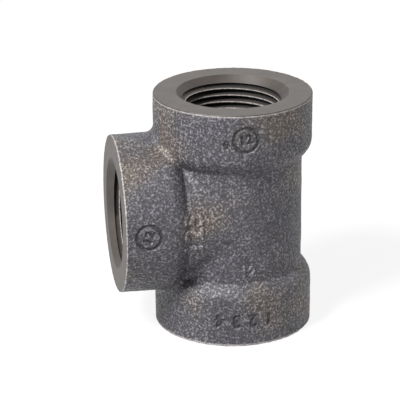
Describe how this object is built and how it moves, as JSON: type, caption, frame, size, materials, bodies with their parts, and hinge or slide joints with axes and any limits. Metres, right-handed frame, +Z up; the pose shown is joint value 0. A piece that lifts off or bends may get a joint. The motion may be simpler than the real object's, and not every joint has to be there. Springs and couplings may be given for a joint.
{
  "type": "pipe tee fitting",
  "caption": "Equal cast-iron pipe tee with a reinforcing band round each mouth and taper pipe threads inside.",
  "frame": {"origin": "centre of the run's lower end face", "axes": "+Z up along the run, -X out of the branch port, the run standing on its lower end face at z = 0"},
  "size_m": [0.0632, 0.0502, 0.0762],
  "materials": {
    "cast_iron": "sand-cast dark grey iron with a fine grain, oiled; end faces, chamfers and threads machined"
  },
  "bodies": {
    "root": {"tee_body": "cast_iron"}
  },
  "joints": []
}
